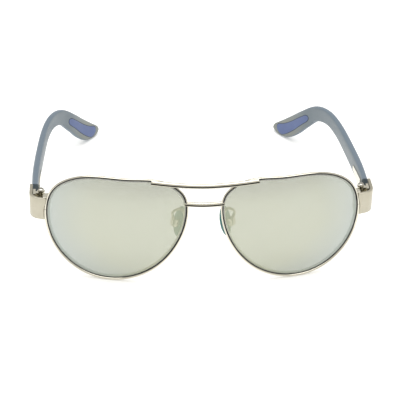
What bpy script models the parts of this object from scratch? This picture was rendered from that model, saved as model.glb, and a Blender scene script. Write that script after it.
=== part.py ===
"""Aviator sunglasses: two teardrop wire rims with mirrored lenses, a brow bar and a bridge,
wrap-round end pieces with rim locks, three-knuckle hinges, moulded temples with coloured tip
inlays, and rocking nose pads on wire arms.

The glasses stand open on the lowest points of their rims and temple tips. -Y is forward and +Z
is up. Left and right are as seen from the front, with +X to the right. Lengths are in metres.
"""
import math

import bmesh
import bpy
import numpy as np
from mathutils import Matrix, Vector

MM = 0.001

# ---- Driving dimensions -------------------------------------------------------------------
# Lens box (outer edge of the rim) and the space between the two rims
LENS_BOX_WIDTH = 57.6 * MM
LENS_BOX_HEIGHT = 46.9 * MM
RIM_SPACING = 12.8 * MM
BASE_RADIUS = 88.0 * MM
WRAP_OFFSET = 15.5 * MM
LEAN_OFFSET = 6.4 * MM

# Teardrop outline, as fractions of the half width and half height of the lens box
RIM_OUTLINE = (
    (1.000, -0.020),
    (0.905, 0.630),
    (0.490, 0.957),
    (-0.150, 1.003),
    (-0.645, 0.962),
    (-0.952, 0.690),
    (-0.985, 0.270),
    (-0.825, -0.270),
    (-0.555, -0.675),
    (-0.100, -0.965),
    (0.335, -0.970),
    (0.750, -0.665),
)
OUTLINE_STEPS = 52

# Rim wire, its lens groove and its split at the temporal side, at a share of the lens height
RIM_WIDTH = 1.5 * MM
RIM_DEPTH = 2.2 * MM
GROOVE_DEPTH = 0.50 * MM
GROOVE_MOUTH = 1.15 * MM
GROOVE_FLOOR = 0.55 * MM
RIM_SPLIT_Z = LENS_BOX_HEIGHT * 0.616
RIM_SPLIT_GAP = 0.5 * MM

# Lens
LENS_THICKNESS = 1.8 * MM
LENS_TONGUE_TIP = 0.16 * MM
LENS_TONGUE_ROOT = 0.50 * MM
LENS_SHOULDER = 0.25 * MM

# Bars between the rims: the brow bar laps the tops of the rims, the bridge joins their sides
BROW_BAR_DIAMETER = 2.1 * MM
BROW_BAR_LAP = 15.1 * MM
BROW_BAR_HALF_LENGTH = RIM_SPACING / 2.0 + BROW_BAR_LAP
BROW_BAR_OVER_RIM = 0.65 * MM
BROW_BAR_RISE = 1.7 * MM
BROW_BAR_BOW = 0.9 * MM
BRIDGE_DIAMETER = 2.1 * MM
BRIDGE_Z = LENS_BOX_HEIGHT * 0.775
BRIDGE_SAG = 0.3 * MM
BRIDGE_BOW = 0.8 * MM

# End piece: a flat strip that turns back round a corner
END_PIECE_HEIGHT = 10.0 * MM
END_PIECE_THICKNESS = 1.2 * MM
END_PIECE_REACH = 6.3 * MM
END_PIECE_SWEEP = 2.2 * MM
END_PIECE_DEPTH = 12.2 * MM
END_PIECE_CORNER = 4.6 * MM

# Rim lock: two blocks behind the split, drawn together by a screw
LOCK_WIDTH = 2.8 * MM
LOCK_DEPTH = 3.6 * MM
LOCK_HEIGHT = 9.0 * MM
LOCK_OFFSET = 0.2 * MM
LOCK_SCREW_DIAMETER = 1.2 * MM
LOCK_SCREW_HEAD = 2.2 * MM
LOCK_HEAD_HEIGHT = 0.8 * MM

# Hinge
HINGE_INSET = 4.7 * MM
HINGE_BACK = 4.7 * MM
KNUCKLE_DIAMETER = 3.2 * MM
KNUCKLE_HEIGHT = 2.7 * MM
HINGE_SCREW_DIAMETER = 1.2 * MM
HINGE_SCREW_HEAD = 2.4 * MM
HINGE_HEAD_HEIGHT = 0.9 * MM
SCREW_SLOT = 0.4 * MM
LEAF_THICKNESS = 1.0 * MM
LEAF_PROUD = 0.30 * MM
LEAF_LENGTH = 18.0 * MM
LEAF_FRONT_HEIGHT = 6.2 * MM
LEAF_END_HEIGHT = 2.0 * MM

# Temple: stations of its centre line. Each has x in from the end piece's outer side (mm), y back
# from the front face (share of the temple's reach), z from the middle of the end piece (share
# of that middle's height above the floor), height (mm), thickness (mm) and roll (degrees)
TEMPLE_REACH = 97.6 * MM
TEMPLE_STATIONS = (
    (2.25, 0.000, 0.007, 8.6, 3.0, 0.0),
    (2.45, 0.149, -0.024, 7.7, 3.2, 0.0),
    (3.7, 0.353, -0.080, 6.9, 3.3, 0.0),
    (5.6, 0.558, -0.138, 6.4, 3.2, 0.0),
    (8.4, 0.694, -0.187, 6.4, 3.2, 0.0),
    (12.4, 0.785, -0.291, 7.0, 3.2, 3.0),
    (17.0, 0.846, -0.510, 8.2, 3.2, 6.0),
    (20.2, 0.891, -0.690, 9.0, 3.2, 9.0),
    (23.6, 0.934, -0.838, 8.7, 3.1, 12.0),
    (26.5, 0.971, -0.913, 6.3, 2.9, 12.0),
    (28.85, 1.0, -0.947, 3.4, 2.4, 12.0),
)
TEMPLE_STEPS = 32
TEMPLE_GAP = 0.6 * MM
TIP_ROUNDING = 0.075
TIP_STRAIGHT_FROM = 0.76

# Coloured inlay in the inner face of the tip: fractions of the temple's stations, and widths
INLAY_START = 0.575
INLAY_END = 0.935
INLAY_START_WIDTH = 2.8 * MM
INLAY_END_WIDTH = 5.6 * MM
INLAY_THICKNESS = 0.9 * MM
INLAY_PROUD = 0.15 * MM

# Nose pads
PAD_LENGTH = 13.6 * MM
PAD_WIDTH = 7.4 * MM
PAD_THICKNESS = 2.4 * MM
PAD_X = RIM_SPACING / 2.0 + 4.7 * MM
PAD_BEHIND_RIM = 8.5 * MM
PAD_Z = LENS_BOX_HEIGHT * 0.504
PAD_SPLAY = math.radians(35.0)
PAD_FLARE = math.radians(14.0)
PAD_TAB = (2.2 * MM, 1.0 * MM, 2.0 * MM)
PAD_BOX_WALL = 0.6 * MM
PAD_BOX_LENGTH = 2.6 * MM
PAD_SCREW_DIAMETER = 0.8 * MM
PAD_SCREW_HEAD = 1.4 * MM
PAD_SCREW_HEAD_HEIGHT = 0.4 * MM
PAD_ARM_DIAMETER = 1.2 * MM

# Clearances
SEAT_GAP = 0.3 * MM
BORE_GAP = 0.3 * MM
RUN_GAP = 0.3 * MM

# ---- Derived places -----------------------------------------------------------------------
BOX_CENTRE_X = (RIM_SPACING + LENS_BOX_WIDTH) / 2.0
BOX_CENTRE_Z = LENS_BOX_HEIGHT / 2.0
APEX_X = BOX_CENTRE_X - WRAP_OFFSET
APEX_Z = BOX_CENTRE_Z - LEAN_OFFSET

COLORS = {
    "silver": ((0.66, 0.65, 0.60), 0.16, 1.0),
    "lens": ((0.62, 0.64, 0.53), 0.06, 0.9),
    "temple": ((0.27, 0.33, 0.38), 0.50, 0.0),
    "inlay": ((0.15, 0.20, 0.36), 0.45, 0.0),
    "screw": ((0.60, 0.60, 0.58), 0.25, 1.0),
    "pad": ((0.60, 0.68, 0.66), 0.25, 0.0),
}


# ---- Scene helpers --------------------------------------------------------------------------
def clear_scene():
    for obj in list(bpy.data.objects):
        bpy.data.objects.remove(obj, do_unlink=True)


def make_collection(name):
    collection = bpy.data.collections.new(name)
    bpy.context.scene.collection.children.link(collection)
    return collection


def make_material(name, finish):
    color, roughness, metallic = COLORS[finish]
    material = bpy.data.materials.new(name)
    material.use_nodes = True
    shader = material.node_tree.nodes["Principled BSDF"]
    shader.inputs["Base Color"].default_value = (*color, 1.0)
    shader.inputs["Roughness"].default_value = roughness
    shader.inputs["Metallic"].default_value = metallic
    material.diffuse_color = (*color, 1.0)
    return material


def add_object(name, mesh, collection, finish=None):
    obj = bpy.data.objects.new(name, mesh)
    collection.objects.link(obj)
    if finish:
        mesh.materials.clear()
        mesh.materials.append(make_material(name, finish))
    return obj


def mesh_from_bmesh(name, bm):
    bmesh.ops.recalc_face_normals(bm, faces=bm.faces)
    mesh = bpy.data.meshes.new(name)
    bm.to_mesh(mesh)
    bm.free()
    return mesh


def hide_as_cutter(obj):
    obj.hide_render = True
    obj.display_type = "WIRE"
    return obj


def evaluated_mesh(obj):
    bpy.context.view_layer.update()
    graph = bpy.context.evaluated_depsgraph_get()
    return bpy.data.meshes.new_from_object(obj.evaluated_get(graph))


def weld(mesh, distance=0.00002):
    bm = bmesh.new()
    bm.from_mesh(mesh)
    bmesh.ops.remove_doubles(bm, verts=bm.verts, dist=distance)
    bmesh.ops.recalc_face_normals(bm, faces=bm.faces)
    bm.to_mesh(mesh)
    bm.free()
    return mesh


def curve_to_mesh_object(curve_obj, collection):
    """Turn a bevelled curve into a welded mesh object in the same place."""
    mesh = weld(evaluated_mesh(curve_obj))
    mesh.transform(curve_obj.matrix_world)
    name = curve_obj.name
    curve = curve_obj.data
    bpy.data.objects.remove(curve_obj, do_unlink=True)
    bpy.data.curves.remove(curve)
    mesh.name = name
    return add_object(name, mesh, collection)


def boolean(target, tool, operation):
    modifier = target.modifiers.new(operation.title() + " " + tool.name, "BOOLEAN")
    modifier.operation = operation
    modifier.object = tool
    modifier.solver = "EXACT"
    return modifier


def finish_solid(obj, finish, smooth_angle=35.0):
    """Give a solid its material and its shading."""
    obj.data.materials.clear()
    obj.data.materials.append(make_material(obj.name, finish))
    for polygon in obj.data.polygons:
        polygon.material_index = 0
    obj.data.shade_smooth()
    obj.data.set_sharp_from_angle(angle=math.radians(smooth_angle))
    return obj


def box_mesh(name, low, high):
    low = Vector(low)
    high = Vector(high)
    bm = bmesh.new()
    bmesh.ops.create_cube(bm, size=1.0)
    bmesh.ops.scale(bm, vec=high - low, verts=bm.verts)
    bmesh.ops.translate(bm, vec=(low + high) / 2.0, verts=bm.verts)
    return mesh_from_bmesh(name, bm)


def cylinder_mesh(name, radius, low, high, x=0.0, y=0.0, segments=24):
    bm = bmesh.new()
    bmesh.ops.create_cone(bm, cap_ends=True, segments=segments, radius1=radius, radius2=radius,
                          depth=high - low)
    bmesh.ops.translate(bm, vec=(x, y, (low + high) / 2.0), verts=bm.verts)
    return mesh_from_bmesh(name, bm)


def tube_curve(name, points, radius, collection, resolution=2, tilts=None, profile=None,
               cyclic=False):
    """A wire: a poly curve through the points, with a round or a given section."""
    curve = bpy.data.curves.new(name, "CURVE")
    curve.dimensions = "3D"
    curve.twist_mode = "Z_UP" if profile else "MINIMUM"
    spline = curve.splines.new("POLY")
    spline.points.add(len(points) - 1)
    for index, point in enumerate(points):
        spline.points[index].co = (*point, 1.0)
        if tilts is not None:
            spline.points[index].tilt = tilts[index]
    spline.use_cyclic_u = cyclic
    if profile:
        curve.bevel_mode = "OBJECT"
        curve.bevel_object = profile
    else:
        curve.bevel_depth = radius
        curve.bevel_resolution = resolution
    curve.use_fill_caps = not cyclic
    obj = bpy.data.objects.new(name, curve)
    collection.objects.link(obj)
    return obj


def profile_curve(name, points, collection):
    """A closed flat outline that a wire takes as its section."""
    curve = bpy.data.curves.new(name, "CURVE")
    curve.dimensions = "2D"
    curve.fill_mode = "NONE"
    spline = curve.splines.new("POLY")
    spline.points.add(len(points) - 1)
    for index, (x, y) in enumerate(points):
        spline.points[index].co = (x, y, 0.0, 1.0)
    spline.use_cyclic_u = True
    obj = bpy.data.objects.new(name, curve)
    collection.objects.link(obj)
    return hide_as_cutter(obj)


def loft_mesh(name, rings, closed_ends=True):
    """A solid between rings of equal point count; a ring of one point is a pole."""
    bm = bmesh.new()
    loops = [[bm.verts.new(point) for point in ring] for ring in rings]
    for first, second in zip(loops, loops[1:]):
        count = max(len(first), len(second))
        for i in range(count):
            j = (i + 1) % count
            if len(first) == 1:
                bm.faces.new((first[0], second[j], second[i]))
            elif len(second) == 1:
                bm.faces.new((first[i], first[j], second[0]))
            else:
                bm.faces.new((first[i], first[j], second[j], second[i]))
    if closed_ends:
        for loop in (loops[0], loops[-1]):
            if len(loop) > 1:
                bm.faces.new(loop)
    return mesh_from_bmesh(name, bm)


# ---- Geometry of the front ------------------------------------------------------------------
def periodic_spline(points, count):
    """Points at even spacing along a closed cubic spline through the given points."""
    knots = np.array(points)
    size = len(knots)
    following = np.roll(knots, -1, axis=0)
    spans = np.linalg.norm(following - knots, axis=1)
    before = np.roll(spans, 1)
    matrix = np.zeros((size, size))
    right = np.zeros((size, 2))
    for i in range(size):
        matrix[i, i - 1] += before[i]
        matrix[i, i] += 2.0 * (before[i] + spans[i])
        matrix[i, (i + 1) % size] += spans[i]
        slope_after = (following[i] - knots[i]) / spans[i]
        slope_before = (knots[i] - knots[i - 1]) / before[i]
        right[i] = 6.0 * (slope_after - slope_before)
    bend = np.linalg.solve(matrix, right)
    dense = []
    for i in range(size):
        j = (i + 1) % size
        h = spans[i]
        for step in range(40):
            t = h * step / 40.0
            a = (h - t) / h
            b = t / h
            point = a * knots[i] + b * knots[j]
            point = point + ((a ** 3 - a) * bend[i] + (b ** 3 - b) * bend[j]) * h * h / 6.0
            dense.append(point)
    dense = np.array(dense)
    closed = np.vstack([dense, dense[:1]])
    lengths = np.concatenate([[0.0], np.cumsum(np.linalg.norm(np.diff(closed, axis=0), axis=1))])
    places = np.linspace(0.0, lengths[-1], count, endpoint=False)
    x = np.interp(places, lengths, closed[:, 0])
    z = np.interp(places, lengths, closed[:, 1])
    return np.column_stack([x, z])


def rim_outline(inset, count=OUTLINE_STEPS):
    """(x, z) points of the right-hand rim outline, moved inwards by the inset."""
    half_width = LENS_BOX_WIDTH / 2.0
    half_height = LENS_BOX_HEIGHT / 2.0
    scaled = [(BOX_CENTRE_X + u * half_width, BOX_CENTRE_Z + v * half_height)
              for u, v in RIM_OUTLINE]
    points = periodic_spline(scaled, count)
    points = points - [0.0, points[:, 1].min()]
    along = np.roll(points, -1, axis=0) - np.roll(points, 1, axis=0)
    along = along / np.linalg.norm(along, axis=1)[:, None]
    inward = np.column_stack([-along[:, 1], along[:, 0]])
    return points + inward * inset


def front_point(x, z, height=0.0):
    """The point of the lens's middle surface at (x, z), raised forward along its normal."""
    dx = x - APEX_X
    dz = z - APEX_Z
    y = BASE_RADIUS - math.sqrt(BASE_RADIUS ** 2 - dx * dx - dz * dz)
    normal = Vector((dx, y - BASE_RADIUS, dz)).normalized()
    return Vector((x, y, z)) + normal * height


def rim_centre_line():
    """Points of the rim wire from above the split, over the top and round to below it."""
    outline = rim_outline(RIM_WIDTH / 2.0)
    split = [p[0] > BOX_CENTRE_X and abs(p[1] - RIM_SPLIT_Z) <= RIM_SPLIT_GAP for p in outline]
    start = next(i for i in range(len(outline)) if outline[i][0] > BOX_CENTRE_X
                 and outline[i - 1][1] < RIM_SPLIT_Z + RIM_SPLIT_GAP <= outline[i][1])
    kept = [outline[(start + i) % len(outline)] for i in range(len(outline))
            if not split[(start + i) % len(outline)]]
    first = edge_at(outline, RIM_SPLIT_Z + RIM_SPLIT_GAP / 2.0)
    last = edge_at(outline, RIM_SPLIT_Z - RIM_SPLIT_GAP / 2.0)
    return [front_point(x, z) for x, z in [first] + kept + [last]]


def edge_at(outline, z):
    """The point of the temporal side of an outline at height z."""
    best = None
    for i in range(len(outline)):
        a = outline[i - 1]
        b = outline[i]
        if a[0] > BOX_CENTRE_X and (a[1] - z) * (b[1] - z) <= 0.0 and a[1] != b[1]:
            best = a + (b - a) * (z - a[1]) / (b[1] - a[1])
    return best


def rim_tilts(points):
    """Turn of the wire's section at each local point, so that its depth follows the lens."""
    tilts = []
    for index, point in enumerate(points):
        ahead = points[min(index + 1, len(points) - 1)]
        behind = points[max(index - 1, 0)]
        along = (ahead - behind).normalized()
        up = Vector((0.0, 0.0, 1.0))
        up = (up - along * up.dot(along)).normalized()
        dx = point.x - APEX_X
        dz = point.y - APEX_Z
        normal = Vector((dx, dz, BASE_RADIUS + point.z))
        normal = (normal - along * normal.dot(along)).normalized()
        tilts.append(math.atan2(up.cross(normal).dot(along), up.dot(normal)))
    return tilts


def local_front(point):
    """World point to the front's own frame, whose Z points forward."""
    return Vector((point.x, point.z, -point.y))


def rim_section():
    """Section of the rim wire: +X outwards from the lens, +Y forward, with the lens groove."""
    half_width = RIM_WIDTH / 2.0
    half_depth = RIM_DEPTH / 2.0
    points = []
    for step in range(7):
        angle = math.radians(-90.0 + step * 30.0)
        points.append((half_width * math.cos(angle), half_depth * math.sin(angle)))
    points.append((-half_width * 0.72, half_depth * 0.86))
    points.append((-half_width, GROOVE_MOUTH / 2.0))
    points.append((-half_width + GROOVE_DEPTH, GROOVE_FLOOR / 2.0))
    points.append((-half_width + GROOVE_DEPTH, -GROOVE_FLOOR / 2.0))
    points.append((-half_width, -GROOVE_MOUTH / 2.0))
    points.append((-half_width * 0.72, -half_depth * 0.86))
    return points


def build_rim(parts, tools):
    profile = profile_curve("rim_section", rim_section(), tools)
    points = [local_front(p) for p in rim_centre_line()]
    wire = tube_curve("rim_right", points, 0.0, parts, tilts=rim_tilts(points), profile=profile)
    wire.rotation_euler = (math.radians(90.0), 0.0, 0.0)
    bpy.context.view_layer.update()
    return curve_to_mesh_object(wire, parts)


def build_rim_cutter(tools, gap):
    """A round tube that clears the rim wire all round by the gap."""
    points = [front_point(x, z) for x, z in rim_outline(RIM_WIDTH / 2.0)]
    radius = math.hypot(RIM_WIDTH, RIM_DEPTH) / 2.0 * 0.78 + gap
    wire = tube_curve("rim_clearance", points, radius, tools, resolution=3, cyclic=True)
    return hide_as_cutter(curve_to_mesh_object(wire, tools))


def lens_ring(inset, height, scale=1.0):
    centre = np.array([BOX_CENTRE_X, BOX_CENTRE_Z])
    ring = centre + (rim_outline(inset) - centre) * scale
    return [front_point(x, z, height) for x, z in ring]


def build_lens(parts):
    half = LENS_THICKNESS / 2.0
    tip_inset = RIM_WIDTH - GROOVE_DEPTH + SEAT_GAP
    root_inset = RIM_WIDTH + SEAT_GAP
    shoulder = root_inset + LENS_SHOULDER
    pole = (BOX_CENTRE_X, BOX_CENTRE_Z)
    rings = [[front_point(*pole, half)]]
    for scale in (0.30, 0.60, 0.85, 1.0):
        rings.append(lens_ring(shoulder, half, scale))
    rings.append(lens_ring(root_inset, LENS_TONGUE_ROOT / 2.0))
    rings.append(lens_ring(tip_inset, LENS_TONGUE_TIP / 2.0))
    rings.append(lens_ring(tip_inset, -LENS_TONGUE_TIP / 2.0))
    rings.append(lens_ring(root_inset, -LENS_TONGUE_ROOT / 2.0))
    for scale in (1.0, 0.85, 0.60, 0.30):
        rings.append(lens_ring(shoulder, -half, scale))
    rings.append([front_point(*pole, -half)])
    return add_object("lens_right", loft_mesh("lens_right", rings), parts)


def top_edge(x):
    """z of the top of the rim outline at x."""
    outline = rim_outline(0.0, 240)
    side = outline[outline[:, 1] > BOX_CENTRE_Z]
    return side[np.argmin(abs(side[:, 0] - x))][1]


def build_brow_bar(parts):
    """A bar across the fronts of both rims, lowest in the middle."""
    end_z = top_edge(BROW_BAR_HALF_LENGTH) - RIM_WIDTH / 2.0 + BROW_BAR_OVER_RIM
    reach = (RIM_DEPTH + BROW_BAR_DIAMETER) / 2.0 + SEAT_GAP
    ahead = math.sqrt(reach ** 2 - BROW_BAR_OVER_RIM ** 2)
    end_y = front_point(BROW_BAR_HALF_LENGTH, end_z - BROW_BAR_OVER_RIM).y - ahead
    points = []
    steps = 20
    for step in range(steps + 1):
        share = 2.0 * step / steps - 1.0
        middle = 1.0 - abs(share) ** 1.7
        points.append((share * BROW_BAR_HALF_LENGTH, end_y - BROW_BAR_BOW * middle,
                       end_z - BROW_BAR_RISE * middle))
    bar = tube_curve("brow_bar", points, BROW_BAR_DIAMETER / 2.0, parts, resolution=3)
    return curve_to_mesh_object(bar, parts)


def nasal_edge(z, inset):
    """x of the nasal side of the rim outline at height z."""
    outline = rim_outline(inset, 240)
    side = outline[outline[:, 0] < BOX_CENTRE_X]
    return side[np.argmin(abs(side[:, 1] - z))][0]


def build_bridge(parts, tools, cutter_pair):
    """A bar between the nasal sides of the rims."""
    end_x = nasal_edge(BRIDGE_Z, 0.0) + RIM_WIDTH * 0.4
    end_y = front_point(end_x, BRIDGE_Z).y
    points = []
    steps = 12
    for step in range(steps + 1):
        share = 2.0 * step / steps - 1.0
        bow = 1.0 - share * share
        points.append((share * end_x, end_y - BRIDGE_BOW * bow, BRIDGE_Z - BRIDGE_SAG * bow))
    bar = tube_curve("bridge", points, BRIDGE_DIAMETER / 2.0, parts, resolution=3)
    bar = curve_to_mesh_object(bar, parts)
    for cutter in cutter_pair:
        boolean(bar, cutter, "DIFFERENCE")
    return bake(bar)


def bake(obj):
    """Replace an object's modifiers by the shape they make."""
    mesh = weld(evaluated_mesh(obj), 0.000005)
    obj.modifiers.clear()
    old = obj.data
    obj.data = mesh
    mesh.name = obj.name
    bpy.data.meshes.remove(old)
    return obj


# ---- End piece, lock and hinge ----------------------------------------------------------------
def end_piece_line():
    """Plan view (x, y) of the end piece's outer side, with its corner rounded."""
    outline_x = edge_at(rim_outline(0.0), RIM_SPLIT_Z)[0]
    start_y = front_point(outline_x - RIM_WIDTH / 2.0, RIM_SPLIT_Z).y - RIM_DEPTH * 0.35
    start = Vector((outline_x - RIM_WIDTH * 0.3, start_y))
    corner = Vector((outline_x + END_PIECE_REACH, start_y + END_PIECE_SWEEP))
    end = Vector((corner.x - 0.2 * MM, corner.y + END_PIECE_DEPTH - END_PIECE_SWEEP))
    return rounded_corner(start, corner, end, END_PIECE_CORNER, 8)


def rounded_corner(start, corner, end, radius, steps):
    """Two straight runs joined by an arc."""
    first = (start - corner).normalized()
    second = (end - corner).normalized()
    half = math.acos(first.dot(second)) / 2.0
    reach = radius / math.tan(half)
    centre = corner + (first + second).normalized() * (radius / math.sin(half))
    enter = corner + first * reach
    leave = corner + second * reach
    a = math.atan2(enter.y - centre.y, enter.x - centre.x)
    b = math.atan2(leave.y - centre.y, leave.x - centre.x)
    points = [start]
    for step in range(steps + 1):
        angle = a + (b - a) * step / steps
        points.append(centre + Vector((math.cos(angle), math.sin(angle))) * radius)
    points.append(end)
    return points


def end_piece_side():
    """x of the end piece's outer side and y of its back edge."""
    line = end_piece_line()
    return max(p.x for p in line), line[-1].y


def build_end_piece(parts, rim_cutter):
    """The strip's outer side, given its thickness inwards and rounded along its edges."""
    low = RIM_SPLIT_Z - END_PIECE_HEIGHT / 2.0
    line = end_piece_line()
    bm = bmesh.new()
    columns = [(bm.verts.new((p.x, p.y, low)), bm.verts.new((p.x, p.y, low + END_PIECE_HEIGHT)))
               for p in line]
    for (a, b), (c, d) in zip(columns, columns[1:]):
        bm.faces.new((a, c, d, b))
    mesh = bpy.data.meshes.new("end_piece_right")
    bm.to_mesh(mesh)
    bm.free()
    obj = add_object("end_piece_right", mesh, parts)
    solidify = obj.modifiers.new("Thickness", "SOLIDIFY")
    solidify.thickness = END_PIECE_THICKNESS
    solidify.offset = -1.0
    solidify.use_even_offset = True
    bevel = obj.modifiers.new("Soft edges", "BEVEL")
    bevel.width = 0.22 * MM
    bevel.segments = 2
    bevel.limit_method = "ANGLE"
    bevel.angle_limit = math.radians(60.0)
    bake(obj)
    boolean(obj, rim_cutter, "DIFFERENCE")
    return bake(obj)


def hinge_axis():
    side_x, back_y = end_piece_side()
    return Vector((side_x - HINGE_INSET, back_y - HINGE_BACK, RIM_SPLIT_Z))


def soften(obj, width):
    bevel = obj.modifiers.new("Soft edges", "BEVEL")
    bevel.width = width
    bevel.segments = 2
    bevel.limit_method = "ANGLE"
    bevel.angle_limit = math.radians(40.0)
    return bake(obj)


def build_lock(parts, tools, rim_cutter):
    """Two blocks behind the rim split and the screw that draws them together."""
    outline_x = edge_at(rim_outline(0.0), RIM_SPLIT_Z)[0]
    rim_y = front_point(outline_x - RIM_WIDTH / 2.0, RIM_SPLIT_Z).y
    right = outline_x - RIM_WIDTH / 2.0 + LOCK_WIDTH / 2.0 + LOCK_OFFSET
    front = rim_y + RIM_DEPTH / 2.0 + SEAT_GAP
    back = front + LOCK_DEPTH
    screw_x = right - LOCK_WIDTH / 2.0
    screw_y = back - LOCK_DEPTH * 0.42
    split = RIM_SPLIT_GAP / 2.0
    spans = {
        "rim_lock_upper_right": (RIM_SPLIT_Z + split, RIM_SPLIT_Z + LOCK_HEIGHT / 2.0),
        "rim_lock_lower_right": (RIM_SPLIT_Z - LOCK_HEIGHT / 2.0, RIM_SPLIT_Z - split),
    }
    bore = add_object("lock_bore", cylinder_mesh(
        "lock_bore", LOCK_SCREW_DIAMETER / 2.0 + BORE_GAP, RIM_SPLIT_Z - LOCK_HEIGHT,
        RIM_SPLIT_Z + LOCK_HEIGHT * 0.36, screw_x, screw_y, 16), tools)
    hide_as_cutter(bore)
    pieces = []
    for name, (low, high) in spans.items():
        mesh = box_mesh(name, (right - LOCK_WIDTH, front, low), (right, back, high))
        block = soften(add_object(name, mesh, parts), 0.25 * MM)
        boolean(block, rim_cutter, "DIFFERENCE")
        boolean(block, bore, "DIFFERENCE")
        pieces.append(bake(block))
    foot = RIM_SPLIT_Z - LOCK_HEIGHT / 2.0 - SEAT_GAP
    screw = build_screw("rim_lock_screw_right", parts, tools, screw_x, screw_y,
                        LOCK_SCREW_DIAMETER / 2.0, LOCK_SCREW_HEAD / 2.0, LOCK_HEAD_HEIGHT,
                        foot, RIM_SPLIT_Z + LOCK_HEIGHT * 0.36 - SEAT_GAP, head_up=False)
    pieces.append(screw)
    return pieces


def build_screw(name, parts, tools, x, y, radius, head_radius, head_height, low, high, head_up):
    """A turned screw with a slotted head; the slot is a thin box cut from the head."""
    if head_up:
        profile = [(0.0, high + head_height), (head_radius * 0.75, high + head_height),
                   (head_radius, high + head_height * 0.6), (head_radius, high),
                   (radius, high), (radius, low), (0.0, low)]
        slot_z = high + head_height
    else:
        profile = [(0.0, high), (radius, high), (radius, low), (head_radius, low),
                   (head_radius, low - head_height * 0.6),
                   (head_radius * 0.75, low - head_height), (0.0, low - head_height)]
        slot_z = low - head_height
    screw = turned(name, profile, parts, 20)
    screw.data.transform(Matrix.Translation((x, y, 0.0)))
    half = SCREW_SLOT / 2.0
    deep = head_height * 0.45
    slot = add_object(name + "_slot", box_mesh(
        name + "_slot", (x - head_radius * 1.2, y - half, slot_z - deep),
        (x + head_radius * 1.2, y + half, slot_z + deep)), tools)
    hide_as_cutter(slot)
    boolean(screw, slot, "DIFFERENCE")
    return bake(screw)


def turned(name, profile, collection, steps):
    """A profile from the axis at its top to the axis at its foot, turned about Z."""
    bm = bmesh.new()
    verts = [bm.verts.new((r, 0.0, z)) for r, z in profile]
    for a, b in zip(verts, verts[1:]):
        bm.edges.new((a, b))
    mesh = bpy.data.meshes.new(name)
    bm.to_mesh(mesh)
    bm.free()
    obj = add_object(name, mesh, collection)
    screw = obj.modifiers.new("Turn", "SCREW")
    screw.axis = "Z"
    screw.angle = math.radians(360.0)
    screw.steps = steps
    screw.render_steps = steps
    screw.use_merge_vertices = True
    screw.merge_threshold = 0.00001
    return bake(obj)


def union_of(name, meshes, collection, tools):
    """One solid from overlapping meshes."""
    base = add_object(name, meshes[0], collection)
    extras = [hide_as_cutter(add_object(name + "_piece", mesh, tools)) for mesh in meshes[1:]]
    for extra in extras:
        boolean(base, extra, "UNION")
    bake(base)
    for extra in extras:
        bpy.data.objects.remove(extra, do_unlink=True)
    return base


def build_hinge(parts, tools):
    """Front leaf with two knuckles, temple leaf with the middle one, and the hinge screw."""
    axis = hinge_axis()
    side_x, back_y = end_piece_side()
    radius = KNUCKLE_DIAMETER / 2.0
    inner_x = side_x - END_PIECE_THICKNESS - SEAT_GAP
    total = 3.0 * KNUCKLE_HEIGHT + 2.0 * RUN_GAP
    low = RIM_SPLIT_Z - total / 2.0
    high = low + total
    plate_x = inner_x - LEAF_THICKNESS
    front_y = axis.y - radius - 0.6 * MM

    barrel = cylinder_mesh("hinge_front_right", radius, low, high, axis.x, axis.y)
    arm = box_mesh("arm", (axis.x, axis.y - radius, low), (plate_x + 0.3 * MM, axis.y, high))
    plate = box_mesh("plate", (plate_x, front_y, low), (inner_x, axis.y + radius, high))
    front = union_of("hinge_front_right", [barrel, arm, plate], parts, tools)
    middle_low = low + KNUCKLE_HEIGHT
    middle_high = high - KNUCKLE_HEIGHT
    slot = hide_as_cutter(add_object("hinge_slot", cylinder_mesh(
        "hinge_slot", radius + RUN_GAP, middle_low, middle_high, axis.x, axis.y, 28), tools))
    bore = hide_as_cutter(add_object("hinge_bore", cylinder_mesh(
        "hinge_bore", HINGE_SCREW_DIAMETER / 2.0 + BORE_GAP, low - MM, high + MM,
        axis.x, axis.y, 20), tools))
    boolean(front, slot, "DIFFERENCE")
    boolean(front, bore, "DIFFERENCE")
    bake(front)

    screw = build_screw("hinge_screw_right", parts, tools, axis.x, axis.y,
                        HINGE_SCREW_DIAMETER / 2.0, HINGE_SCREW_HEAD / 2.0, HINGE_HEAD_HEIGHT,
                        low, high + SEAT_GAP, head_up=True)

    knuckle_low = middle_low + RUN_GAP
    knuckle_high = middle_high - RUN_GAP
    knuckle = cylinder_mesh("hinge_temple_right", radius, knuckle_low, knuckle_high,
                            axis.x, axis.y)
    strip = leaf_mesh("leaf_strip", 0.0)
    inner, outer = leaf_sides()
    neck = box_mesh("neck", (inner, axis.y, knuckle_low),
                    (outer, back_y + TEMPLE_GAP + 1.6 * MM, knuckle_high))
    temple_leaf = union_of("hinge_temple_right", [knuckle, neck, strip], parts, tools)
    boolean(temple_leaf, bore, "DIFFERENCE")
    bake(temple_leaf)
    return front, screw, temple_leaf


def leaf_sides():
    """x of the inner and outer sides of the temple's leaf at its front end."""
    side_x, _ = end_piece_side()
    inset, _, _, _, thickness, _ = TEMPLE_STATIONS[0]
    inner_face = side_x - (inset + thickness / 2.0) * MM
    return inner_face - LEAF_PROUD, inner_face - LEAF_PROUD + LEAF_THICKNESS


# ---- Temple -----------------------------------------------------------------------------------
def catmull(values, place):
    """Smooth value of a table of rows at a fractional row number."""
    rows = np.array(values, dtype=float)
    last = len(rows) - 1
    i = min(int(place), last - 1)
    t = place - i
    before = rows[i - 1] if i > 0 else 2.0 * rows[0] - rows[1]
    after = rows[i + 2] if i + 2 <= last else 2.0 * rows[last] - rows[last - 1]
    a = rows[i]
    b = rows[i + 1]
    return 0.5 * ((2.0 * a) + (b - before) * t
                  + (2.0 * before - 5.0 * a + 4.0 * b - after) * t * t
                  + (3.0 * a - before - 3.0 * b + after) * t ** 3)


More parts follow.
